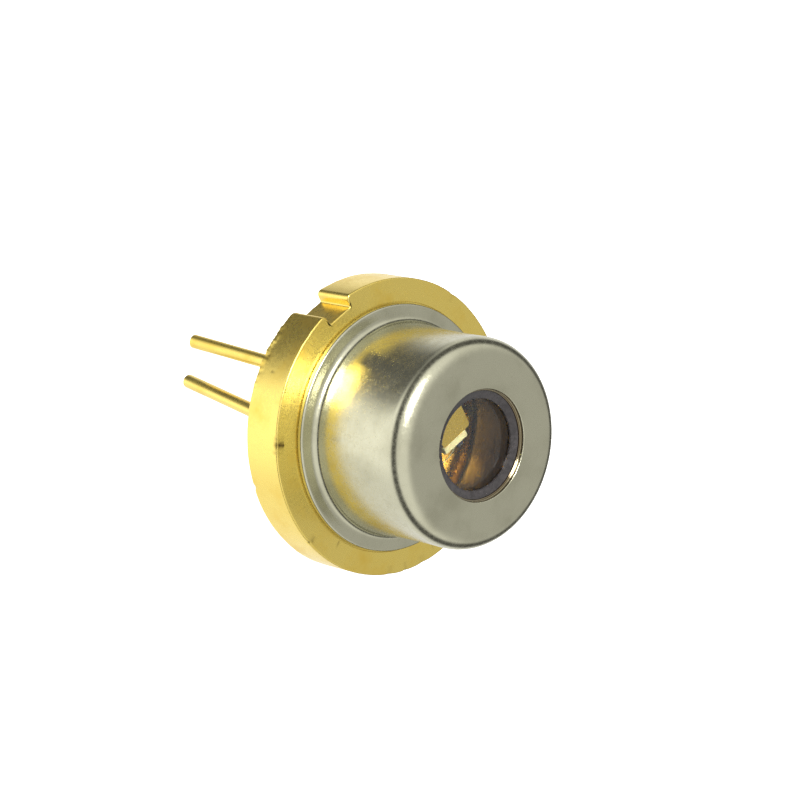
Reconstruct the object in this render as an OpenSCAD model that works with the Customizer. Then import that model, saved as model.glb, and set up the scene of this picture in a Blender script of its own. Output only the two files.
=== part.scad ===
// Laser diode in a 9 mm metal can with two leads.
// Millimetres. +Z is the way the light leaves, z = 0 is the stem's front face.
// The rim notch lies towards +Y and the two leads stand on the X axis.

/* [Stem] */
// Diameter of the gold-plated stem disc
stem_d = 9; // [8.8:0.05:9.4]
// Thickness of the stem disc
stem_t = 1.4; // [1.2:0.05:1.8]
// Bevel on both edges of the rim
stem_bevel = 0.05; // [0.02:0.01:0.12]
// Width of the notch between its side walls
notch_w = 0.92; // [0.6:0.02:1.2]
// How deep the notch cuts into the rim
notch_depth = 0.38; // [0.25:0.01:0.6]
// Radius of the notch's rounded lips
notch_lip = 0.15; // [0.05:0.01:0.25]
// Depth of the coined seat that the cap is welded in
seat_depth = 0.04; // [0.02:0.01:0.08]
// Gap round the cap's flange inside that seat
seat_gap = 0.05; // [0.03:0.01:0.1]

/* [Leads] */
// Distance between the two leads where they leave the stem
lead_pitch = 2.54; // [2.4:0.02:2.6]
// Diameter of a lead
lead_d = 0.45; // [0.4:0.01:0.5]
// Length of the leads behind the stem
lead_len = 8.7; // [5:0.1:12]
// Straight length of a lead before it starts to lean
lead_stub = 0.5; // [0.4:0.05:1]
// Inside radius of the bend, at the lead's centre line
lead_bend_r = 0.6; // [0.4:0.05:1]
// Bevel on the cut ends of the leads
lead_bevel = 0.05; // [0.02:0.01:0.1]
// How far the anode lead leans, in degrees
anode_lean = 8.2; // [2:0.2:10]
// Which way the anode lead leans, in degrees from +X
anode_lean_way = 109; // [80:1:130]
// How far the cathode lead leans, in degrees
cathode_lean = 9.2; // [2:0.2:10]
// Which way the cathode lead leans, in degrees from +X
cathode_lean_way = 5; // [-30:1:30]
// Height of the lead tops above the stem's front face
post_h = 2.2; // [1.8:0.05:2.4]
// Height of the flat that the bond wire lands on
post_flat_h = 0.9; // [0.5:0.05:1.2]
// Diameter of the glass seal round each lead
seal_d = 1.1; // [0.9:0.02:1.2]
// How far the seal's glass lies below both faces of the stem
seal_sink = 0.06; // [0.02:0.01:0.15]
// Size of the glass fillet that creeps up each lead
seal_creep = 0.1; // [0.05:0.01:0.15]

/* [Heat sink, submount and chip] */
// Height of the chip's front facet above the stem's front face
facet_h = 2.8; // [2.6:0.05:3]
// Width of the heat sink block
block_w = 1.2; // [1:0.02:1.26]
// Distance from the optical axis to the block's mounting face
block_face = 0.15; // [0.1:0.01:0.3]
// Radius of the block's rounded back, from the optical axis
block_back_r = 2.35; // [2:0.05:2.6]
// Bevel on the block's two front corners
block_bevel = 0.08; // [0.03:0.01:0.15]
// Thickness of the ceramic submount
submount_t = 0.2; // [0.15:0.01:0.3]
// Width of the submount
submount_w = 0.96; // [0.7:0.02:0.98]
// Length of the submount along the optical axis
submount_len = 1.3; // [1.1:0.05:1.6]
// Sideways offset of the submount from the optical axis
submount_shift = -0.115; // [-0.12:0.005:0]
// Width of the laser chip
chip_w = 0.2; // [0.12:0.01:0.3]
// Thickness of the laser chip
chip_t = 0.1; // [0.08:0.01:0.15]
// Length of the laser chip's cavity
chip_len = 1; // [0.6:0.05:1.05]
// Overhang of the chip's facet past the submount
chip_over = 0.01; // [0.005:0.005:0.02]

/* [Bond wires] */
// Diameter of a bond wire
wire_d = 0.04; // [0.03:0.005:0.06]
// Diameter of the bond at each end of a wire
bond_d = 0.1; // [0.08:0.01:0.14]
// Thickness of that bond
bond_t = 0.03; // [0.02:0.005:0.04]
// How far the wire from the submount bows out
anode_bow = 0.2; // [0.15:0.01:0.3]
// How far the wire from the chip bows out
cathode_bow = 0.38; // [0.25:0.01:0.45]

/* [Cap] */
// Height of the cap's face above the stem's front face
cap_h = 3.9; // [3.7:0.05:4.3]
// Thickness of the drawn sheet
cap_t = 0.25; // [0.2:0.01:0.3]
// Diameter of the welding flange
flange_d = 7.48; // [7.4:0.02:7.8]
// Rounding of the flange's top edge
flange_round = 0.08; // [0.03:0.01:0.12]
// Diameter of the barrel just above the flange
root_d = 6.42; // [6.3:0.02:6.5]
// Radius of the hollow corner between the flange and the barrel
root_round = 0.22; // [0.15:0.01:0.25]
// Diameter of the barrel at its head
head_d = 6.28; // [6.1:0.02:6.3]
// Outside radius of the drawn shoulder
shoulder_r = 0.58; // [0.4:0.02:0.7]
// Diameter of the light opening
aperture_d = 3.32; // [3:0.02:3.6]
// Width of the step inside the light opening
aperture_step = 0.06; // [0.03:0.01:0.1]
// Bevel on the outer edge of the light opening
aperture_bevel = 0.03; // [0.01:0.01:0.05]
// Diameter of the window glass
window_d = 4.4; // [4.1:0.05:4.6]
// Thickness of the window glass
window_t = 0.25; // [0.2:0.01:0.35]
// Thickness of the glass frit between the window and the cap
frit_t = 0.06; // [0.04:0.01:0.1]
// How far the frit reaches into the light opening
frit_reach = 0.24; // [0.1:0.01:0.3]
// Height of the frit's fillet round the window's edge
frit_fillet = 0.15; // [0.1:0.01:0.18]

/* [Hidden] */
$fn = 96;

gold = [0.86, 0.68, 0.28];
nickel = [0.7, 0.68, 0.6];
dark_glass = [0.1, 0.09, 0.08];

stem_r = stem_d / 2;
lead_r = lead_d / 2;
lead_x = lead_pitch / 2;
// the floor that the cap, the block and the seals share
floor_z = -seat_depth;
seat_r = flange_d / 2 + seat_gap;
inside_top = cap_h - cap_t;
window_top = inside_top - frit_t;
submount_face = block_face - submount_t;
chip_face = submount_face - chip_t;

function unit(v) = v / norm(v);

// ---------- stem ----------

// what rounds one lip of the notch, on the +X side
module lip_cutter() {
    cx = notch_w / 2 + notch_lip;
    cy = sqrt(pow(stem_r - notch_lip, 2) - cx * cx);
    out = (stem_r + 0.3) / (stem_r - notch_lip);
    difference() {
        polygon([[notch_w / 2 - 0.05, cy], [cx, cy], [cx * out, cy * out],
                 [notch_w / 2 - 0.05, stem_r + 0.3]]);
        translate([cx, cy]) circle(r = notch_lip);
    }
}

module notch_outline() {
    translate([-notch_w / 2, stem_r - notch_depth]) square([notch_w, notch_depth + 0.5]);
    lip_cutter();
    mirror([1, 0]) lip_cutter();
}

module stem() {
    color(gold) difference() {
        rotate_extrude() polygon([
            [0, -stem_t], [stem_r - stem_bevel, -stem_t], [stem_r, -stem_t + stem_bevel],
            [stem_r, -stem_bevel], [stem_r - stem_bevel, 0], [seat_r, 0], [seat_r, floor_z],
            [0, floor_z]]);
        translate([0, 0, -stem_t - 1]) linear_extrude(stem_t + 2) notch_outline();
        for (side = [-1, 1])
            translate([side * lead_x, 0, -stem_t - 1]) cylinder(d = seal_d, h = stem_t + 2);
    }
}

// ---------- heat sink, submount and chip ----------

module heat_sink_block() {
    color(gold) translate([0, 0, floor_z]) linear_extrude(facet_h - floor_z) intersection() {
        polygon([
            [-block_w / 2, block_face + block_bevel], [-block_w / 2 + block_bevel, block_face],
            [block_w / 2 - block_bevel, block_face], [block_w / 2, block_face + block_bevel],
            [block_w / 2, block_back_r + 1], [-block_w / 2, block_back_r + 1]]);
        circle(r = block_back_r);
    }
}

module submount() {
    color([0.9, 0.76, 0.4])
        translate([submount_shift - submount_w / 2, submount_face, facet_h - submount_len])
            cube([submount_w, submount_t, submount_len]);
}

module laser_chip() {
    color([0.3, 0.3, 0.33])
        translate([-chip_w / 2, chip_face, facet_h + chip_over - chip_len])
            cube([chip_w, chip_t, chip_len]);
}

// ---------- leads and their glass seals ----------

// the leaning length of a lead: a short bend, then straight to the cut end
module lead_tail(lean, way) {
    tail = (lead_len - lead_stub - lead_bend_r * sin(lean)) / cos(lean);
    translate([0, 0, -stem_t - lead_stub]) rotate([0, 0, way]) {
        translate([lead_bend_r, 0, 0]) rotate([90, 0, 0]) mirror([0, 1, 0])
            rotate([0, 0, 180 - lean]) rotate_extrude(angle = lean)
                translate([lead_bend_r, 0]) circle(r = lead_r);
        translate([lead_bend_r, 0, 0]) rotate([0, -lean, 0]) translate([-lead_bend_r, 0, 0])
            rotate([180, 0, 0]) rotate_extrude() polygon([
                [0, 0], [lead_r, 0], [lead_r, tail - lead_bevel],
                [lead_r - lead_bevel, tail], [0, tail]]);
    }
}

// the post through the stem, with the flat for the wire at its top
module lead_post() {
    difference() {
        translate([0, 0, -stem_t - lead_stub])
            cylinder(r = lead_r, h = stem_t + lead_stub + post_h);
        translate([-lead_r - 1, submount_face - 2, post_h - post_flat_h])
            cube([lead_d + 2, 2, post_flat_h + 1]);
    }
}

module lead_anode() {
    color(gold) translate([lead_x, 0, 0]) {
        lead_post();
        lead_tail(anode_lean, anode_lean_way);
    }
}

module lead_cathode() {
    color(gold) translate([-lead_x, 0, 0]) {
        lead_post();
        lead_tail(cathode_lean, cathode_lean_way);
    }
}

// half of a seal's section above its middle, with the glass hollowing up to the lead
module seal_section(half) {
    difference() {
        translate([lead_r, 0]) square([seal_d / 2 - lead_r, half + seal_creep]);
        translate([lead_r + seal_creep, half]) square([seal_d, seal_creep + 1]);
        translate([lead_r + seal_creep, half + seal_creep]) circle(r = seal_creep);
    }
}

module seal() {
    bottom = -stem_t + seal_sink;
    top = floor_z - seal_sink;
    color(dark_glass) translate([0, 0, (top + bottom) / 2]) rotate_extrude() {
        seal_section((top - bottom) / 2);
        mirror([0, 1]) seal_section((top - bottom) / 2);
    }
}

module seal_anode() {
    translate([lead_x, 0, 0]) seal();
}

module seal_cathode() {
    translate([-lead_x, 0, 0]) seal();
}

// ---------- cap ----------

// the cap's outside as a solid half section, from the weld face to the head
module cap_outside() {
    flange_r = flange_d / 2;
    top = floor_z + cap_t;
    difference() {
        translate([0, floor_z]) square([flange_r, cap_t]);
        difference() {
            translate([flange_r - flange_round, top - flange_round])
                square([flange_round + 1, flange_round + 1]);
            translate([flange_r - flange_round, top - flange_round]) circle(r = flange_round);
        }
    }
    polygon([[0, floor_z], [root_d / 2, floor_z], [root_d / 2, top + root_round],
             [head_d / 2, cap_h - shoulder_r], [0, cap_h - shoulder_r]]);
    difference() {
        translate([0, top - 0.1]) square([root_d / 2 + root_round, root_round + 0.1]);
        translate([root_d / 2 + root_round, top + root_round]) circle(r = root_round);
    }
    translate([0, cap_h - shoulder_r - 0.1])
        square([head_d / 2 - shoulder_r, shoulder_r + 0.1]);
    translate([head_d / 2 - shoulder_r, cap_h - shoulder_r]) circle(r = shoulder_r);
}

// the room inside the cap as a half section
module cap_inside() {
    root_r = root_d / 2 - cap_t;
    head_r = head_d / 2 - cap_t;
    inner_r = shoulder_r - cap_t;
    centre_x = root_d / 2 + root_round;
    centre_y = floor_z + cap_t + root_round;
    polygon([[0, floor_z - 1], [root_r, floor_z - 1], [root_r, centre_y],
             [head_r, cap_h - shoulder_r], [0, cap_h - shoulder_r]]);
    difference() {
        translate([0, floor_z - 1]) square([centre_x, centre_y - floor_z + 1]);
        translate([centre_x, centre_y]) circle(r = root_round + cap_t);
        translate([centre_x - 0.001, floor_z - 2]) square([1, 5]);
    }
    translate([0, cap_h - shoulder_r - 0.1]) square([head_r - inner_r, inner_r + 0.1]);
    translate([head_r - inner_r, cap_h - shoulder_r]) circle(r = inner_r);
}

module cap() {
    aperture_r = aperture_d / 2;
    color(nickel) rotate_extrude() difference() {
        cap_outside();
        cap_inside();
        translate([-1, cap_h - cap_t - 1]) square([aperture_r - aperture_step + 1, 3]);
        translate([-1, cap_h - cap_t / 2]) square([aperture_r + 1, 3]);
        polygon([[0, cap_h - aperture_bevel], [aperture_r, cap_h - aperture_bevel],
                 [aperture_r + aperture_bevel + 0.1, cap_h + 0.1], [0, cap_h + 0.1]]);
    }
}

// ---------- window ----------

module window_glass() {
    color([0.85, 0.9, 0.92, 0.3]) translate([0, 0, window_top - window_t])
        cylinder(d = window_d, h = window_t);
}

module window_frit() {
    hole_r = aperture_d / 2 - aperture_step;
    inner_r = hole_r - frit_reach;
    lift = 0.07;
    color([0.45, 0.42, 0.45]) rotate_extrude() {
        // the layer between the glass and the cap
        translate([inner_r, window_top])
            square([window_d / 2 + frit_fillet - inner_r, frit_t]);
        // what is squeezed up into the light opening
        polygon([[inner_r + 0.05, window_top + frit_t], [hole_r, window_top + frit_t],
                 [hole_r, window_top + frit_t + lift]]);
        // the fillet round the edge of the glass
        polygon([[window_d / 2, window_top - frit_fillet / 2],
                 [window_d / 2 + frit_fillet, window_top],
                 [window_d / 2, window_top]]);
    }
}

// ---------- bond wires ----------

// a wire that bows out towards -Y between two bonds
module bond_wire(a, b, bow) {
    along = unit(b - a);
    away = unit([0, -1, 0] - ([0, -1, 0] * along) * along);
    side = cross(along, away);
    span = norm(b - a);
    bend = (span * span / 4 + bow * bow) / (2 * bow);
    half = bow < span / 2 ? asin(span / 2 / bend) : 180 - asin(span / 2 / bend);
    color(gold) {
        multmatrix([[along.x, away.x, side.x, a.x], [along.y, away.y, side.y, a.y],
                    [along.z, away.z, side.z, a.z]])
            translate([span / 2, bow - bend, 0]) rotate([0, 0, 90 - half])
                rotate_extrude(angle = 2 * half) translate([bend, 0]) circle(d = wire_d, $fn = 24);
        for (end = [a, b])
            translate(end) rotate([90, 0, 0]) cylinder(d = bond_d, h = bond_t, $fn = 32);
    }
}

module wire_anode() {
    bond_wire([submount_shift + submount_w / 2 - bond_d, submount_face, facet_h - 0.15],
              [lead_x - 0.05, submount_face, post_h - 0.15], anode_bow);
}

module wire_cathode() {
    bond_wire([0, chip_face, facet_h - 0.25],
              [-lead_x, submount_face, post_h - 0.15], cathode_bow);
}

stem();
heat_sink_block();
submount();
laser_chip();
lead_anode();
lead_cathode();
seal_anode();
seal_cathode();
cap();
window_glass();
window_frit();
wire_anode();
wire_cathode();
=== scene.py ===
import math

import bmesh
import bpy
from mathutils import Matrix, Vector, noise
from mathutils.geometry import tessellate_polygon


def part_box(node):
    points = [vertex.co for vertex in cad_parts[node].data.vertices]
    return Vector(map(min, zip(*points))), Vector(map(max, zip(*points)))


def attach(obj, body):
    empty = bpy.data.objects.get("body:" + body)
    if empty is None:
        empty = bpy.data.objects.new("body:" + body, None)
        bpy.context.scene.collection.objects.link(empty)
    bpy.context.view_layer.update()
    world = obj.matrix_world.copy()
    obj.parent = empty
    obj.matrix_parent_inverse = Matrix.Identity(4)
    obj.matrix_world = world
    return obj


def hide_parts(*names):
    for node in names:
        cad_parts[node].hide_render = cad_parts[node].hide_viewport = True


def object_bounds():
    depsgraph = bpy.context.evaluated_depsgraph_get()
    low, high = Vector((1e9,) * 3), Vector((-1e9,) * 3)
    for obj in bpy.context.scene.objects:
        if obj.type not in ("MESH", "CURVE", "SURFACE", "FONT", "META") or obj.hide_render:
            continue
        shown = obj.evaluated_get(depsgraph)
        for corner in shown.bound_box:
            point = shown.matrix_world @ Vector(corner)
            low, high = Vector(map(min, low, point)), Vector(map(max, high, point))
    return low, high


bl_info = {
    "name": "Laser diode",
    "version": (1, 0, 0),
    "blender": (4, 5, 0),
    "location": "3D View > Sidebar > Laser diode",
    "description": "Dresses a laser diode in a 9 mm metal can: stem, cap, window, leads and inside",
    "category": "Object",
}

MM = 0.001
BODY = "root"
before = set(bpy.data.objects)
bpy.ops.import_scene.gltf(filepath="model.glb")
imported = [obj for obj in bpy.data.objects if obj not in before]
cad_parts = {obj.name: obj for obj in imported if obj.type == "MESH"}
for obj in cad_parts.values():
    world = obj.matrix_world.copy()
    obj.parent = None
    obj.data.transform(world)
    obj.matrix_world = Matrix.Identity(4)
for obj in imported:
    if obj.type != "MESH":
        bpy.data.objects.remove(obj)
CAD_LOW, CAD_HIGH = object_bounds()


def cad_mm(node):
    """The lowest and highest corner of a CAD node, in millimetres."""
    low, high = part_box(node)
    return low / MM, high / MM


STEM_LOW, STEM_HIGH = cad_mm("stem")
CAP_LOW, CAP_HIGH = cad_mm("cap")


# ---------- settings ----------

def length(name, description, mm):
    """A length that the user can change, given here in millimetres."""
    return bpy.props.FloatProperty(
        name=name, description=description, default=mm * MM, min=0.0,
        precision=5, unit="LENGTH", subtype="DISTANCE")


def angle(name, description, degrees):
    return bpy.props.FloatProperty(
        name=name, description=description, default=math.radians(degrees),
        unit="ROTATION", subtype="ANGLE")


def share(name, description, value, most=1.0):
    return bpy.props.FloatProperty(
        name=name, description=description, default=value, min=0.0, max=most,
        subtype="FACTOR")


def colour(name, description, value):
    return bpy.props.FloatVectorProperty(
        name=name, description=description, default=value, min=0.0, max=1.0,
        size=3, subtype="COLOR")


class LaserDiodeStem(bpy.types.PropertyGroup):
    diameter: length("Diameter", "Diameter of the stem disc", 2 * STEM_HIGH.x)
    thickness: length("Thickness", "Thickness of the stem disc", -STEM_LOW.z)
    edge: length("Edge", "Size of the bevel on both edges of the rim", 0.05)
    notch_width: length("Notch width", "Width of the notch between its walls", 0.92)
    notch_depth: length("Notch depth", "How deep the notch cuts into the rim", 0.38)
    notch_lip: length("Notch lip", "Radius of the notch's rounded lips", 0.15)
    seat_radius: length("Seat radius", "Radius of the coined seat under the cap", 3.79)
    seat_depth: length("Seat depth", "Depth of that seat", 0.04)
    seal_diameter: length("Seal diameter", "Diameter of the hole round each lead", 1.1)
    lead_pitch: length("Lead pitch", "Distance between the two leads", 2.54)
    wear: share("Wear", "How strong the nicks, dents and burrs are", 1.0, 2.0)


class LaserDiodeCap(bpy.types.PropertyGroup):
    flange: length("Flange", "Diameter of the welding flange", 2 * CAP_HIGH.x)
    height: length("Height", "Height of the head above the stem", CAP_HIGH.z)
    sheet: length("Sheet", "Thickness of the drawn sheet", 0.25)
    flange_edge: length("Flange edge", "Rounding of the flange's top edge", 0.08)
    root: length("Root", "Diameter of the barrel above the flange", 6.42)
    root_round: length("Root round", "Radius of the hollow corner at the root", 0.22)
    head: length("Head", "Diameter of the barrel at the head", 6.28)
    shoulder: length("Shoulder", "Outside radius of the shoulder", 0.58)
    opening: length("Opening", "Diameter of the light opening", 3.32)
    step: length("Step", "Width of the step inside the opening", 0.06)
    bevel: length("Bevel", "Bevel on the outer edge of the opening", 0.03)


class LaserDiodeFinish(bpy.types.PropertyGroup):
    gold: colour("Gold", "Colour of the gold plating", (0.97, 0.75, 0.19))
    gold_deep: colour("Deep gold", "Colour of the plating where it is thin", (0.90, 0.62, 0.10))
    gold_roughness: share("Gold roughness", "How satin the plating is", 0.27)
    nickel: colour("Nickel", "Colour of the cap's plating", (0.60, 0.585, 0.43))
    nickel_deep: colour("Deep nickel", "Colour of the cap's plating in its hollows",
                        (0.49, 0.475, 0.34))
    nickel_roughness: share("Nickel roughness", "How satin the cap is", 0.21)
    # a dark painted shade for the can's inside, and a lighter share of it for the opening's wall
    inside: colour("Inside", "Colour of the can's unplated inside", (0.17, 0.11, 0.055))
    # the colour of a painted reflection of light on the far inside wall of the can
    painted_reflection_colour: colour("Heat tint", "Colour that welding left inside the can", (0.78, 0.58, 0.30))
    frit: colour("Frit", "Colour of the glass frit round the window", (0.024, 0.020, 0.020))
    seal: colour("Seal", "Colour of the glass round each lead", (0.015, 0.02, 0.014))
    dirt: colour("Dirt", "Colour of dirt and tarnish", (0.10, 0.06, 0.02))


class LaserDiodeStudio(bpy.types.PropertyGroup):
    azimuth: angle("Azimuth", "Way round to the camera from the +X axis", 135.0)
    elevation: angle("Elevation", "Height of the camera above the stem's plane", 47.8)
    roll: angle("Roll", "Turn of the camera about its own axis", 101.18)
    distance: length("Distance", "Distance of the camera from the origin", 88.3)
    right: length("Right", "Sideways place of the camera", 0.189)
    up: length("Up", "Upward place of the camera", 0.814)
    lens: bpy.props.FloatProperty(name="Lens", description="Focal length of the camera",
                                  default=132.9, min=1.0, unit="CAMERA")
    box_light: bpy.props.FloatProperty(
        name="Soft box", description="Power of the soft box", default=1.1, min=0.0, unit="POWER")
    room: share("Room", "Brightness of the room", 1.0, 2.0)


def settings(key):
    return getattr(bpy.context.scene, "laser_diode_" + key)


# ---------- mesh making, in millimetres ----------

# faces that meet at less than this many degrees are shaded as one curve
SMOOTH_UNDER = 32.0
# how close two points of a CAD node lie to be one point, before its edges are broken
WELD_WITHIN = 0.0005
BEVEL_SEGMENTS = 3


def arc(centre, radius, start, end, steps):
    """Points of (radius, height) along an arc, from one angle to another in degrees."""
    points = []
    for i in range(steps + 1):
        a = math.radians(start + (end - start) * i / steps)
        points.append((centre[0] + radius * math.cos(a), centre[1] + radius * math.sin(a)))
    return points


def line(start, end, steps):
    """Points after start and up to end."""
    return [(start[0] + (end[0] - start[0]) * i / steps,
             start[1] + (end[1] - start[1]) * i / steps) for i in range(1, steps + 1)]


def ring_faces(rings, closed):
    """Faces between rings of equally many points, or of one point at a pole."""
    faces = []
    for low, high in zip(rings, rings[1:] + (rings[:1] if closed else [])):
        count = max(len(low), len(high))
        if count == 1:
            continue
        for i in range(count):
            j = (i + 1) % count
            if len(low) == 1:
                faces.append((low[0], high[j], high[i]))
            elif len(high) == 1:
                faces.append((low[i], low[j], high[0]))
            else:
                faces.append((low[i], low[j], high[j], high[i]))
    return faces


def turned(section, steps, closed=True, warp=None):
    """Turns a section of (radius, height) points round the axis."""
    verts, rings = [], []
    for radius, z in section:
        count = 1 if radius < 1e-6 else steps
        rings.append(list(range(len(verts), len(verts) + count)))
        for i in range(count):
            a = 2 * math.pi * i / steps
            r, h = warp(radius, z, a) if warp else (radius, z)
            verts.append((r * math.cos(a), r * math.sin(a), h))
    return verts, ring_faces(rings, closed)


def piece(name, verts, faces, material, stands_for, values):
    """Makes a piece from points in millimetres, in place of CAD nodes, with values at its points."""
    mesh = bpy.data.meshes.new(name)
    mesh.from_pydata([Vector(v) * MM for v in verts], [], faces)
    work = bmesh.new()
    work.from_mesh(mesh)
    bmesh.ops.recalc_face_normals(work, faces=work.faces[:])
    work.to_mesh(mesh)
    work.free()
    for key, numbers in values.items():
        layer = mesh.attributes.new(key, "FLOAT", "POINT")
        layer.data.foreach_set("value", numbers)
    mesh.validate()
    mesh.shade_smooth()
    mesh.set_sharp_from_angle(angle=math.radians(SMOOTH_UNDER))
    mesh.materials.append(material)
    made = bpy.data.objects.new(name, mesh)
    bpy.context.scene.collection.objects.link(made)
    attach(made, BODY)
    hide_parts(*stands_for)


def finish_node(node, material, edge=0.0):
    """Gives a CAD node that stays its material, and breaks its sharp edges by so many mm."""
    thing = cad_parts[node]
    if edge:
        weld = thing.modifiers.new("weld", "WELD")
        weld.merge_threshold = WELD_WITHIN * MM
        bevel = thing.modifiers.new("broken_edges", "BEVEL")
        bevel.width = edge * MM
        bevel.segments = BEVEL_SEGMENTS
        bevel.limit_method = "ANGLE"
        bevel.harden_normals = True
    for place in thing.material_slots:
        place.material = material
    if not thing.material_slots:
        thing.data.materials.append(material)


# ---------- materials ----------

class Wiring:
    """Short calls for the nodes of a material or of the world."""

    def __init__(self, tree):
        self.nodes = tree.nodes
        self.links = tree.links

    def join(self, source, socket):
        self.links.new(source, socket)

    def spread(self, source, low, high, to_low=0.0, to_high=1.0):
        """Carries a value from one range to another, with soft ends."""
        made = self.nodes.new("ShaderNodeMapRange")
        made.interpolation_type = "SMOOTHSTEP"
        for key, value in (("From Min", low), ("From Max", high),
                           ("To Min", to_low), ("To Max", to_high)):
            made.inputs[key].default_value = value
        self.join(source, made.inputs["Value"])
        return made.outputs["Result"]

    def combine(self, a, b, operation="ADD"):
        """Adds two values, or joins them by another operation; each is a number or a socket."""
        made = self.nodes.new("ShaderNodeMath")
        made.operation = operation
        for socket, value in zip(made.inputs, (a, b)):
            if isinstance(value, (int, float)):
                socket.default_value = value
            else:
                self.join(value, socket)
        return made.outputs[0]

    def mix(self, amount, a, b):
        """Mixes two shaders, none of the second where the amount is 0."""
        made = self.nodes.new("ShaderNodeMixShader")
        for socket, value in zip(made.inputs, (amount, a, b)):
            self.join(value, socket)
        return made.outputs[0]


class Recipe(Wiring):
    """A material with its Principled shader, and short calls for the nodes that feed it."""

    def __init__(self, name):
        self.material = bpy.data.materials.new(name)
        self.material.use_nodes = True
        super().__init__(self.material.node_tree)
        self.shader = self.nodes["Principled BSDF"]
        self.place = self.nodes.new("ShaderNodeTexCoord").outputs["Object"]

    def set(self, **values):
        """Sets the shader's plain values, each named as its socket is."""
        for key, value in values.items():
            self.shader.inputs[key.replace("_", " ")].default_value = value

    def noise(self, per_mm, detail=3.0, roughness=0.55, stretch=(1.0, 1.0, 1.0), twist=0.0):
        """A noise with so many features to a millimetre."""
        way = self.nodes.new("ShaderNodeMapping")
        way.inputs["Scale"].default_value = stretch
        self.join(self.place, way.inputs["Vector"])
        made = self.nodes.new("ShaderNodeTexNoise")
        made.inputs["Scale"].default_value = per_mm / MM
        made.inputs["Detail"].default_value = detail
        made.inputs["Roughness"].default_value = roughness
        made.inputs["Distortion"].default_value = twist
        self.join(way.outputs["Vector"], made.inputs["Vector"])
        return made.outputs["Fac"]

    def blend(self, a, b, amount):
        """Mixes two colours, each a tuple or a socket."""
        made = self.nodes.new("ShaderNodeMix")
        made.data_type = "RGBA"
        for socket, value in ((made.inputs[6], a), (made.inputs[7], b)):
            if isinstance(value, bpy.types.NodeSocket):
                self.join(value, socket)
            else:
                socket.default_value = (*value[:3], 1.0)
        if isinstance(amount, (int, float)):
            made.inputs[0].default_value = amount
        else:
            self.join(amount, made.inputs[0])
        return made.outputs[2]

    def value(self, key):
        """A number kept at each point of the mesh."""
        made = self.nodes.new("ShaderNodeAttribute")
        made.attribute_name = key
        return made.outputs["Fac"]

    def relief(self, *layers):
        """Stacks bumps, each a height with its depth in micrometres and its strength."""
        last = None
        for height, depth, strength in layers:
            made = self.nodes.new("ShaderNodeBump")
            made.inputs["Strength"].default_value = strength
            made.inputs["Distance"].default_value = depth * 1e-6
            self.join(height, made.inputs["Height"])
            if last:
                self.join(last, made.inputs["Normal"])
            last = made.outputs["Normal"]
        self.join(last, self.shader.inputs["Normal"])


def gold_plating(name, grain=1.0, dirty=False, tint=None):
    """Satin gold plating, a little cloudy, with fine grain and dark specks."""
    finish = settings("finish")
    r = Recipe(name)
    clouds = r.noise(0.9, detail=4.0)
    specks = r.noise(6.5, detail=2.0, roughness=0.7)
    grains = r.noise(11.0, detail=3.0, roughness=0.6)
    base = r.blend(finish.gold, finish.gold_deep, r.spread(clouds, 0.45, 0.85))
    base = r.blend(base, finish.gold_deep, r.spread(specks, 0.66, 0.76, 0.0, 0.4))
    if tint:
        base = r.blend(base, tint, 0.6)
    if dirty:
        base = r.blend(base, finish.dirt, r.value("dirt"))
    r.join(base, r.shader.inputs["Base Color"])
    rough = finish.gold_roughness
    r.join(r.spread(r.combine(clouds, grains), 0.7, 1.3, rough - 0.05, rough + 0.09),
           r.shader.inputs["Roughness"])
    r.relief((grains, 1.0 * grain, 0.5), (r.noise(2.3, detail=2.0), 5.0 * grain, 0.25))
    r.set(Metallic=1.0)
    return r.material


def nickel_plating(name):
    """Satin nickel on the drawn can, with faint mottling and the drawing's fine rings, and a dark
    painted shade with a painted reflection on its inside.
    """
    finish = settings("finish")
    r = Recipe(name)
    clouds = r.noise(0.8, detail=5.0)
    mottle = r.noise(5.0, detail=3.0, roughness=0.7)
    grains = r.noise(12.0, detail=3.0, roughness=0.65)
    draw = r.noise(1.2, detail=4.0, stretch=(1.0, 1.0, 9.0))
    base = r.blend(finish.nickel, finish.nickel_deep, r.spread(clouds, 0.40, 0.75))
    base = r.blend(base, finish.nickel_deep, r.spread(mottle, 0.60, 0.80, 0.0, 0.6))
    # a painted reflection round one azimuth lifts the dark painted shade of the inside
    painted_inside = r.blend(finish.inside, finish.painted_reflection_colour, r.value("heat"))
    # the can's inside and the opening's wall take the dark painted shade, with the painted reflection
    # on it
    base = r.blend(base, painted_inside, r.value("inside"))
    r.join(base, r.shader.inputs["Base Color"])
    rough = finish.nickel_roughness
    satin = r.spread(r.combine(mottle, grains), 0.7, 1.3, rough - 0.04, rough + 0.08)
    smoother = r.combine(r.value("inside"), -0.13, "MULTIPLY")
    r.join(r.combine(satin, smoother), r.shader.inputs["Roughness"])
    r.relief((grains, 1.3, 0.5), (draw, 3.0, 0.25))
    r.set(Metallic=1.0)
    return r.material


def window_glass():
    """Clear glass, a little smeared, that casts no shadow."""
    r = Recipe("window_glass")
    smear = r.noise(1.4, detail=3.0)
    r.join(r.spread(smear, 0.45, 0.8, 0.01, 0.05), r.shader.inputs["Roughness"])
    r.set(Base_Color=(0.97, 0.99, 1.0, 1.0), Transmission_Weight=1.0, IOR=1.46,
          Specular_IOR_Level=0.12)
    clear = r.nodes.new("ShaderNodeBsdfTransparent")
    rays = r.nodes.new("ShaderNodeLightPath")
    mixed = r.mix(rays.outputs["Is Shadow Ray"], r.shader.outputs[0], clear.outputs[0])
    r.join(mixed, r.nodes["Material Output"].inputs["Surface"])
    return r.material


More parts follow.
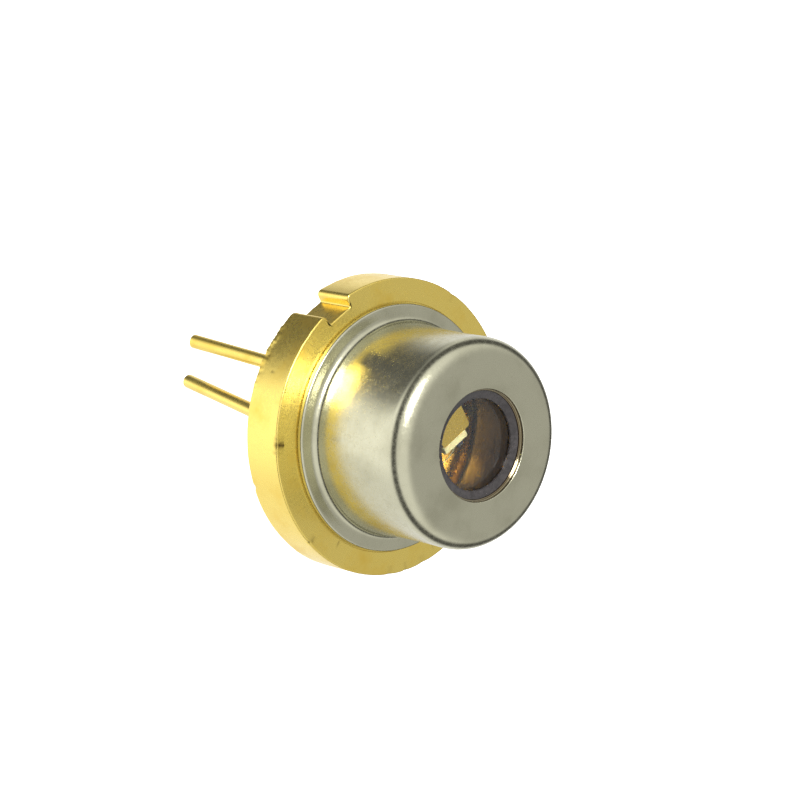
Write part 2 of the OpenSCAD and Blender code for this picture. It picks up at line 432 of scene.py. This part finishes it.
def fired_glass(name, tint, rough=0.25, coat=0.3):
    """Fired glass: dark, a little pitted, glossy on top."""
    r = Recipe(name)
    pits = r.noise(7.0, detail=3.0, roughness=0.7)
    swirl = r.noise(1.6, detail=3.0, twist=0.6)
    lighter = tuple(min(1.0, c * 1.7 + 0.01) for c in tint)
    r.join(r.blend(tint, lighter, r.spread(r.combine(pits, swirl), 0.8, 1.3)),
           r.shader.inputs["Base Color"])
    r.join(r.spread(pits, 0.3, 0.7, rough, rough + 0.15), r.shader.inputs["Roughness"])
    r.relief((pits, 6.0, 0.5))
    r.set(IOR=1.52, Coat_Weight=coat, Coat_Roughness=0.08)
    return r.material


def crystal(name, tint, rough, metallic):
    """The chip or its ceramic carrier, with a fine lapped grain."""
    r = Recipe(name)
    grain = r.noise(16.0, detail=3.0, stretch=(1.0, 1.0, 0.25))
    lighter = tuple(min(1.0, c * 1.25 + 0.01) for c in tint)
    r.join(r.blend(tint, lighter, r.spread(grain, 0.4, 0.65)), r.shader.inputs["Base Color"])
    r.join(r.spread(grain, 0.35, 0.7, rough, rough + 0.1), r.shader.inputs["Roughness"])
    r.relief((grain, 1.5, 0.4))
    r.set(Metallic=metallic)
    return r.material


# ---------- stem ----------

NOTCH_FILLET = 0.06
RIM_STEPS = 1000
HOLE_STEPS = 48
# the circles on the faces where the rings of points end, and where the seat's run is halved
MIDDLE_RADIUS = 2.2
SEAT_HALFWAY = 3.3
# how far the edges of the back and of the front wander in and out, and how far from each edge
REAR_WANDER = 0.010
FRONT_WANDER = 0.006
WANDER_REACH = 0.07
# the burr on the rear edge: azimuth and half width in degrees, reach, height and its fine grain
BURR_AT = 111.0
BURR_HALF = 16.0
BURR_REACH = 0.15
BURR_HEIGHT = 0.055
BURR_GRAIN = 0.018
# nicks and dents on the rim: azimuth, height, half length, half height, depth, dirt
RIM_MARKS = (
    (117.0, -1.22, 0.16, 0.10, 0.020, 0.35),
    (123.0, -0.75, 0.05, 0.04, 0.012, 0.85),
    (150.0, -0.01, 0.10, 0.07, 0.045, 0.85),
    (153.0, -0.07, 0.05, 0.05, 0.030, 0.75),
    (147.6, -0.05, 0.05, 0.04, 0.025, 0.55),
    (169.0, -1.36, 0.09, 0.07, 0.045, 0.15),
    (193.0, -0.02, 0.10, 0.05, 0.030, 0.20),
    (238.0, -0.01, 0.12, 0.05, 0.022, 0.10),
    (246.0, -0.01, 0.07, 0.04, 0.028, 0.15),
    (255.0, -0.02, 0.14, 0.05, 0.020, 0.10),
    (28.0, -0.03, 0.09, 0.05, 0.018, 0.10),
    (312.0, -1.38, 0.12, 0.05, 0.022, 0.15),
)
# scratches on the front ring: azimuth, radius, half length, half width, depth, dirt
FACE_MARKS = (
    (206.0, 3.88, 0.03, 0.12, 0.010, 0.45),
    (193.5, 4.36, 0.05, 0.05, 0.012, 0.30),
    (262.0, 4.20, 0.03, 0.09, 0.006, 0.20),
)


def stem_outline(s):
    """The rim seen along the axis, anticlockwise: the points, and where each goes on a circle."""
    radius, half, lip = s.diameter / MM / 2, s.notch_width / MM / 2, s.notch_lip / MM
    floor = radius - s.notch_depth / MM
    cx = half + lip
    cy = math.sqrt((radius - lip) ** 2 - cx ** 2)
    way = math.degrees(math.atan2(cy, cx))
    inner = half - NOTCH_FILLET
    points = arc((0, 0), radius, 180 - way, 360 + way, RIM_STEPS)
    round_count = len(points)
    points += arc((cx, cy), lip, way, 180, 12)[1:]
    points += line((half, cy), (half, floor + NOTCH_FILLET), 5)
    points += arc((inner, floor + NOTCH_FILLET), NOTCH_FILLET, 0, -90, 5)[1:]
    points += line((inner, floor), (-inner, floor), 18)
    points += arc((-inner, floor + NOTCH_FILLET), NOTCH_FILLET, -90, -180, 5)[1:]
    points += line((-half, floor + NOTCH_FILLET), (-half, cy), 5)
    points += arc((-cx, cy), lip, 0, 180 - way, 12)[1:-1]
    spare = len(points) - round_count
    angles = [math.radians(180 - way + (180 + 2 * way) * i / RIM_STEPS)
              for i in range(round_count)]
    angles += [math.radians(360 + way + (180 - 2 * way) * (i + 1) / (spare + 1))
               for i in range(spare)]
    return points, angles


def outward(points):
    """The outward way at each point of a closed anticlockwise line."""
    ways = []
    for before, after in zip(points[-1:] + points[:-1], points[1:] + points[:1]):
        dx, dy = after[0] - before[0], after[1] - before[1]
        size = math.hypot(dx, dy)
        ways.append((dy / size, -dx / size))
    return ways


def hump(distance, half):
    """1 at no distance, falling off smoothly past the half width."""
    return math.exp(-(distance / half) ** 2)


def rim_wear(x, y, z, radius, thickness, wear):
    """How far a point of the rim goes in and down, and how dirty it is."""
    azimuth = math.degrees(math.atan2(y, x)) % 360
    push, dirt = 0.0, 0.0
    for at, height, half_length, half_height, depth, dark in RIM_MARKS:
        along = math.radians((azimuth - at + 180) % 360 - 180) * radius
        if abs(along) < 3 * half_length:
            rough = 1.0 + 0.6 * noise.noise(Vector((x, y, z)) * 14)
            amount = hump(along, half_length) * hump(z - height, half_height) * rough
            push += depth * amount
            dirt += dark * amount
    for edge_z, strength in ((-thickness, REAR_WANDER), (0.0, FRONT_WANDER)):
        near = hump(z - edge_z, WANDER_REACH)
        push += strength * near * noise.noise(Vector((x * 2.1, y * 2.1, edge_z + 3.0)))
        push += 0.5 * strength * near * noise.noise(Vector((x * 7.0, y * 7.0, edge_z)))
    burr = hump(z + thickness - 0.04, BURR_REACH) * hump(azimuth - BURR_AT, BURR_HALF)
    push -= BURR_HEIGHT * burr * (0.25 + noise.noise(Vector((x, y, z)) * 5))
    push -= BURR_GRAIN * burr * noise.noise(Vector((x, y, z * 1.5)) * 13)
    return push * wear, min(1.0, dirt * wear)


def face_wear(x, y, wear):
    """How far a point of the front ring sinks, and how dirty it is."""
    azimuth = math.degrees(math.atan2(y, x)) % 360
    r = math.hypot(x, y)
    sink, dirt = 0.0, 0.0
    for at, radius, half_length, half_width, depth, dark in FACE_MARKS:
        along = math.radians((azimuth - at + 180) % 360 - 180) * radius
        amount = hump(along, half_length) * hump(r - radius, half_width)
        sink += depth * amount
        dirt += dark * amount
    return sink * wear, min(1.0, dirt * wear)


def stem_section(s):
    """Steps across the stem from the back's middle, round the rim, to the seat's middle.
    Each is (how far in from the outline, how far towards the inner circle, its radius, z)."""
    t, b = s.thickness / MM, s.edge / MM
    seat, deep = s.seat_radius / MM, s.seat_depth / MM
    plan = [(b, f, MIDDLE_RADIUS, -t) for f in (1.0, 0.75, 0.5, 0.3, 0.18, 0.1, 0.05, 0.02)]
    for i in range(6):
        a = math.pi / 2 * i / 5
        plan.append((b * (1 - math.sin(a)), 0.0, seat, -t + b * (1 - math.cos(a))))
    plan += [(0.0, 0.0, seat, -t + b + (t - 2 * b) * i / 16) for i in range(1, 17)]
    for i in range(1, 6):
        a = math.pi / 2 * i / 5
        plan.append((b * (1 - math.cos(a)), 0.0, seat, -b * (1 - math.sin(a))))
    plan += [(b, i / 22, seat, 0.0) for i in range(1, 23)]
    plan += [(b, 1.0, seat - 0.004, -0.008), (b, 1.0, seat - 0.004, -deep + 0.006),
             (b, 1.0, seat - 0.012, -deep), (b, 1.0, SEAT_HALFWAY, -deep),
             (b, 1.0, MIDDLE_RADIUS, -deep)]
    return plan


def build_stem(s, material):
    """The stem in one piece: both faces, rim, notch, seat and the holes round the leads."""
    points, angles = stem_outline(s)
    ways = outward(points)
    radius, thickness = s.diameter / MM / 2, s.thickness / MM
    verts, rings, dirt = [], [], []
    for inset, blend, inner, z in stem_section(s):
        rings.append(list(range(len(verts), len(verts) + len(points))))
        for (px, py), (nx, ny), a in zip(points, ways, angles):
            x, y = px - nx * inset, py - ny * inset
            x += (inner * math.cos(a) - x) * blend
            y += (inner * math.sin(a) - y) * blend
            low, dark = z, 0.0
            if blend < 0.35:
                push, dark = rim_wear(x, y, z, radius, thickness, s.wear)
                x, y = x - nx * push * (1 - blend), y - ny * push * (1 - blend)
            if z == 0.0 and blend < 1.0:
                sink, spot = face_wear(x, y, s.wear)
                low, dark = z - sink, min(1.0, dark + spot)
            verts.append((x, y, low))
            dirt.append(dark)
    faces = ring_faces(rings, closed=False)
    # the middle of both faces, with a hole for each lead
    hole, pitch = s.seal_diameter / MM / 2, s.lead_pitch / MM
    hole_rings = []
    for ring, z in ((rings[0], -thickness), (rings[-1], verts[rings[-1][0]][2])):
        loops = [ring]
        for side in (-1, 1):
            loop = list(range(len(verts), len(verts) + HOLE_STEPS))
            for i in range(HOLE_STEPS):
                a = 2 * math.pi * i / HOLE_STEPS
                verts.append((side * pitch / 2 + hole * math.cos(a), hole * math.sin(a), z))
                dirt.append(0.0)
            loops.append(loop)
        order = [i for loop in loops for i in loop]
        flat = tessellate_polygon([[Vector(verts[i]) for i in loop] for loop in loops])
        faces += [tuple(order[i] for i in face) for face in flat]
        hole_rings.append(loops[1:])
    for low, high in zip(*hole_rings):
        faces += ring_faces([low, high], closed=False)
    piece("stem_disc", verts, faces, material, ["stem"],
          values={"dirt": dirt})


# ---------- cap ----------

# the points at the section's end that lie on the can's inside
CAP_INSIDE_POINTS = 32
# the points at its start that are the wall of the light opening
OPENING_POINTS = 6
# where the painted reflection lies on the inside: azimuth and half width, in degrees
PAINTED_REFLECTION_AT = (285.0, 30.0)
# how far drawing leaves the middle of the barrel in
WAIST = 0.04
# how far the can is out of true
OUT_OF_TRUE = 0.006
CAP_STEPS = 512
BARREL_STEPS = 24
# small chamfers on the opening's ledge, on its rim and under the flange
LEDGE_CHAMFER = 0.01
RIM_CHAMFER = 0.012
FOOT_CHAMFER = 0.01


def cap_section(c):
    """The can's section, from the light opening down the outside and back up the inside."""
    sheet, floor, top = c.sheet / MM, CAP_LOW.z, c.height / MM
    flange, edge = c.flange / MM / 2, c.flange_edge / MM
    root, hollow = c.root / MM / 2, c.root_round / MM
    head, shoulder = c.head / MM / 2, c.shoulder / MM
    opening, step, bevel = c.opening / MM / 2, c.step / MM, c.bevel / MM
    deck, turn = floor + sheet, head - shoulder
    ledge = top - sheet / 2
    section = [(opening - step, top - sheet), (opening - step, ledge - LEDGE_CHAMFER)]
    section += [(opening - step + LEDGE_CHAMFER, ledge), (opening - RIM_CHAMFER, ledge)]
    section += [(opening, ledge + RIM_CHAMFER)]
    section += arc((opening + bevel, top - bevel), bevel, 180, 90, 5)
    section += line((opening + bevel, top), (turn, top), 16)
    section += arc((turn, top - shoulder), shoulder, 90, 0, 24)[1:]
    barrel = line((head, top - shoulder), (root, deck + hollow), BARREL_STEPS)
    for i, (radius, z) in enumerate(barrel):
        section.append((radius - WAIST * math.sin(math.pi * (i + 1) / BARREL_STEPS), z))
    section += arc((root + hollow, deck + hollow), hollow, 180, 270, 14)[1:]
    section += line((root + hollow, deck), (flange - edge, deck), 4)
    section += arc((flange - edge, deck - edge), edge, 90, 0, 7)[1:]
    section += [(flange, floor + FOOT_CHAMFER), (flange - FOOT_CHAMFER, floor)]
    section += line((flange - FOOT_CHAMFER, floor), (root + hollow, floor), 4)
    section += arc((root + hollow, deck + hollow), hollow + sheet, 270, 180, 12)[1:]
    section += line((root - sheet, deck + hollow), (head - sheet, top - shoulder), 10)
    section += arc((turn, top - shoulder), shoulder - sheet, 0, 90, 10)[1:]
    return section


def out_of_true(radius, z, a):
    """Leaves the can a few micrometres out of true, as drawing does."""
    way = Vector((math.cos(a) * 0.9, math.sin(a) * 0.9, z * 0.6))
    return radius + OUT_OF_TRUE * noise.noise(way), z


def build_cap(c, material):
    """The can in one piece, with how much dark painted shade and how much painted reflection each of
    its points gets.
    """
    section = cap_section(c)
    verts, faces = turned(section, CAP_STEPS, warp=out_of_true)
    outer = len(section) - CAP_INSIDE_POINTS
    inside, heat = [], []
    for i in range(len(section)):
        # 1 on the can's inside and 0.6 on the opening's wall: how much dark painted shade each point
        # gets
        painted_inside = 1.0 if i < 2 or i >= outer else 0.6 if i < OPENING_POINTS else 0.0
        for k in range(CAP_STEPS):
            inside.append(painted_inside)
            # how much painted reflection each point gets, by its azimuth
            heat.append(hump((k / CAP_STEPS * 360 - PAINTED_REFLECTION_AT[0] + 180) % 360 - 180, PAINTED_REFLECTION_AT[1]))
    piece("cap_can", verts, faces, material, ["cap"],
          values={"inside": inside, "heat": heat})


# ---------- operators ----------

class PieceOperator:
    """What the operators share."""
    bl_options = {"REGISTER", "UNDO"}

    def execute(self, context):
        self.build()
        return {"FINISHED"}


class LASERDIODE_OT_stem(PieceOperator, bpy.types.Operator):
    """Builds the gold-plated stem with its notch, nicks and burrs"""
    bl_idname = "laser_diode.stem"
    bl_label = "Stem"

    def build(self):
        build_stem(settings("stem"), gold_plating("stem_gold_plate", dirty=True))


class LASERDIODE_OT_cap(PieceOperator, bpy.types.Operator):
    """Builds the drawn nickel can"""
    bl_idname = "laser_diode.cap"
    bl_label = "Cap"

    def build(self):
        build_cap(settings("cap"), nickel_plating("cap_nickel_plate"))


class LASERDIODE_OT_window(PieceOperator, bpy.types.Operator):
    """Finishes the window and the frit that holds it"""
    bl_idname = "laser_diode.window"
    bl_label = "Window"

    def build(self):
        finish_node("window_glass", window_glass())
        finish_node("window_frit", fired_glass("frit_glass", settings("finish").frit, 0.22, 0.6))


class LASERDIODE_OT_leads(PieceOperator, bpy.types.Operator):
    """Finishes the two leads and their glass seals"""
    bl_idname = "laser_diode.leads"
    bl_label = "Leads and seals"

    def build(self):
        gold = gold_plating("lead_gold_plate", grain=0.6)
        glass = fired_glass("seal_glass", settings("finish").seal, 0.12, 0.5)
        for node in ("lead_anode", "lead_cathode"):
            finish_node(node, gold)
        for node in ("seal_anode", "seal_cathode"):
            finish_node(node, glass)


class LASERDIODE_OT_inside(PieceOperator, bpy.types.Operator):
    """Finishes the heat sink block, the submount, the chip and the bond wires"""
    bl_idname = "laser_diode.inside"
    bl_label = "Heat sink and chip"

    def build(self):
        gold = gold_plating("block_gold_plate", grain=0.4, tint=(0.82, 0.50, 0.04))
        finish_node("heat_sink_block", gold, edge=0.02)
        finish_node("submount", crystal("submount_gold_plate", (1.0, 0.80, 0.37), 0.30, 0.3),
                    edge=0.025)
        finish_node("laser_chip", crystal("chip_crystal", (0.05, 0.05, 0.06), 0.2, 0.6),
                    edge=0.006)
        wire = crystal("wire_gold", (1.0, 0.80, 0.40), 0.18, 1.0)
        for node in ("wire_anode", "wire_cathode"):
            finish_node(node, wire)


# ---------- stage ----------

def away(azimuth, elevation):
    """The way towards an azimuth from +X and an elevation, both in radians."""
    return Vector((math.cos(azimuth) * math.cos(elevation),
                   math.sin(azimuth) * math.cos(elevation), math.sin(elevation)))


def place_camera(s):
    """Sets the camera round the part, rolled about its own axis and then moved across its view."""
    back = away(s.azimuth, s.elevation)
    right = Vector((-math.sin(s.azimuth), math.cos(s.azimuth), 0.0))
    up = back.cross(right)
    side = right * math.cos(s.roll) + up * math.sin(s.roll)
    top = up * math.cos(s.roll) - right * math.sin(s.roll)
    place = back * s.distance + side * s.right + top * s.up
    data = bpy.data.cameras.new("camera")
    data.sensor_width = 36.0
    data.lens = s.lens
    data.clip_start, data.clip_end = 0.005, 10.0
    camera = bpy.data.objects.new("camera", data)
    turn = Matrix((side, top, back)).transposed().to_4x4()
    camera.matrix_world = Matrix.Translation(place) @ turn
    bpy.context.scene.collection.objects.link(camera)
    bpy.context.scene.camera = camera


# patches of the room that the metal mirrors:
# way (x, y, z), inner and outer angle in degrees, brightness
ROOM_ZONES = (
    ((0.475, -0.475, 0.741), 20.0, 66.0, 0.55),
    ((0.24, 0.62, -0.74), 12.0, 40.0, 0.14),
    ((-0.42, 0.50, -0.75), 14.0, 46.0, 1.40),
)
# the dark walls between the white table and the lights: from height, to height, brightness
WALL_FOOT = (-0.46, -0.20)
WALL_TOP = (0.08, 0.30)
WALL_LEVEL = 0.10
# the soft box: way from the part, distance, width in metres
SOFT_BOX_WAY = (-0.174, 0.745, 0.642)
SOFT_BOX_AWAY = 0.35
SOFT_BOX_WIDTH = 0.15
# the floor: radii of its inner disc and of its edge, in millimetres, and its facets
FLOOR_RADII = (40.0, 400.0)
FLOOR_STEPS = 64
FLOOR_WHITE = 0.85


def light_room(s):
    """A pale room with dark walls, two darker patches and a bright one, plain white to the camera."""
    world = bpy.data.worlds.new("room")
    world.use_nodes = True
    w = Wiring(world.node_tree)
    w.nodes.clear()
    way = w.nodes.new("ShaderNodeTexCoord").outputs["Generated"]
    level = s.room
    for axis, inner, outer, brightness in ROOM_ZONES:
        dot = w.nodes.new("ShaderNodeVectorMath")
        dot.operation = "DOT_PRODUCT"
        dot.inputs[1].default_value = Vector(axis).normalized()
        w.join(way, dot.inputs[0])
        patch = w.spread(dot.outputs["Value"], math.cos(math.radians(outer)),
                         math.cos(math.radians(inner)), 1.0, brightness)
        level = w.combine(level, patch, "MULTIPLY")
    height = w.nodes.new("ShaderNodeSeparateXYZ")
    w.join(way, height.inputs[0])
    foot = w.spread(height.outputs["Z"], *WALL_FOOT, 1.0, WALL_LEVEL)
    top = w.spread(height.outputs["Z"], *WALL_TOP, WALL_LEVEL, 1.0)
    level = w.combine(level, w.combine(foot, top, "MAXIMUM"), "MULTIPLY")
    lit = w.nodes.new("ShaderNodeBackground")
    w.join(level, lit.inputs["Strength"])
    white = w.nodes.new("ShaderNodeBackground")
    for shade in (lit, white):
        shade.inputs["Color"].default_value = (1.0, 1.0, 1.0, 1.0)
    rays = w.nodes.new("ShaderNodeLightPath")
    mixed = w.mix(rays.outputs["Is Camera Ray"], lit.outputs[0], white.outputs[0])
    w.join(mixed, w.nodes.new("ShaderNodeOutputWorld").inputs["Surface"])
    bpy.context.scene.world = world


def soft_box(name, way, distance, size, power):
    """A round lamp at so many metres, turned to the part."""
    data = bpy.data.lights.new(name, "AREA")
    data.shape = "DISK"
    data.size = size
    data.energy = power
    lamp = bpy.data.objects.new(name, data)
    way = Vector(way).normalized()
    lamp.location = way * distance
    lamp.rotation_mode = "QUATERNION"
    lamp.rotation_quaternion = way.to_track_quat("Z", "Y")
    bpy.context.scene.collection.objects.link(lamp)


def lay_floor():
    """A floor under the lead ends, plain white to the camera and clear from below."""
    material = bpy.data.materials.new("white_floor")
    material.use_nodes = True
    w = Wiring(material.node_tree)
    w.nodes.clear()
    paper = w.nodes.new("ShaderNodeBsdfDiffuse")
    paper.inputs["Color"].default_value = (FLOOR_WHITE, FLOOR_WHITE, FLOOR_WHITE, 1.0)
    glow = w.nodes.new("ShaderNodeEmission")
    rays = w.nodes.new("ShaderNodeLightPath")
    w.join(rays.outputs["Is Camera Ray"], glow.inputs["Strength"])
    both = w.nodes.new("ShaderNodeAddShader")
    w.join(paper.outputs[0], both.inputs[0])
    w.join(glow.outputs[0], both.inputs[1])
    clear = w.nodes.new("ShaderNodeBsdfTransparent")
    below = w.nodes.new("ShaderNodeNewGeometry")
    mixed = w.mix(below.outputs["Backfacing"], both.outputs[0], clear.outputs[0])
    w.join(mixed, w.nodes.new("ShaderNodeOutputMaterial").inputs["Surface"])
    section = [(0.0, 0.0)] + [(radius, 0.0) for radius in FLOOR_RADII]
    verts, faces = turned(section, FLOOR_STEPS, closed=False)
    mesh = bpy.data.meshes.new("floor")
    mesh.from_pydata([Vector(v) * MM for v in verts], [], faces)
    mesh.flip_normals()
    mesh.materials.append(material)
    floor = bpy.data.objects.new("floor", mesh)
    floor.location.z = CAD_LOW.z
    floor.visible_glossy = False
    floor.visible_shadow = False
    bpy.context.scene.collection.objects.link(floor)


class LASERDIODE_OT_stage(PieceOperator, bpy.types.Operator):
    """Lays the floor and sets the lights and the camera"""
    bl_idname = "laser_diode.stage"
    bl_label = "Floor, lights and camera"

    def build(self):
        studio = settings("studio")
        place_camera(studio)
        light_room(studio)
        lay_floor()
        soft_box("soft_box", SOFT_BOX_WAY, SOFT_BOX_AWAY, SOFT_BOX_WIDTH, studio.box_light)
        bpy.context.scene.view_settings.view_transform = "Standard"


class LASERDIODE_PT_panel(bpy.types.Panel):
    """Lists what can be built and changed"""
    bl_label = "Laser diode"
    bl_idname = "LASERDIODE_PT_panel"
    bl_space_type = "VIEW_3D"
    bl_region_type = "UI"
    bl_category = "Laser diode"

    def draw(self, context):
        for key, group in GROUPS.items():
            box = self.layout.box()
            box.label(text=group.__name__.replace("LaserDiode", ""))
            for name in group.__annotations__:
                box.prop(settings(key), name)
        for operator in OPERATORS:
            self.layout.operator(operator.bl_idname)


GROUPS = {"stem": LaserDiodeStem, "cap": LaserDiodeCap, "finish": LaserDiodeFinish,
          "studio": LaserDiodeStudio}
OPERATORS = (LASERDIODE_OT_stage, LASERDIODE_OT_stem, LASERDIODE_OT_cap,
             LASERDIODE_OT_window, LASERDIODE_OT_leads, LASERDIODE_OT_inside)
CLASSES = (*GROUPS.values(), *OPERATORS, LASERDIODE_PT_panel)


def register():
    for made in CLASSES:
        bpy.utils.register_class(made)
    for key, group in GROUPS.items():
        setattr(bpy.types.Scene, "laser_diode_" + key, bpy.props.PointerProperty(type=group))


def unregister():
    for key in GROUPS:
        delattr(bpy.types.Scene, "laser_diode_" + key)
    for made in reversed(CLASSES):
        bpy.utils.unregister_class(made)


def main():
    """Builds everything."""
    register()
    for operator in OPERATORS:
        space, name = operator.bl_idname.split(".")
        getattr(getattr(bpy.ops, space), name)()


if __name__ == "__main__":
    main()
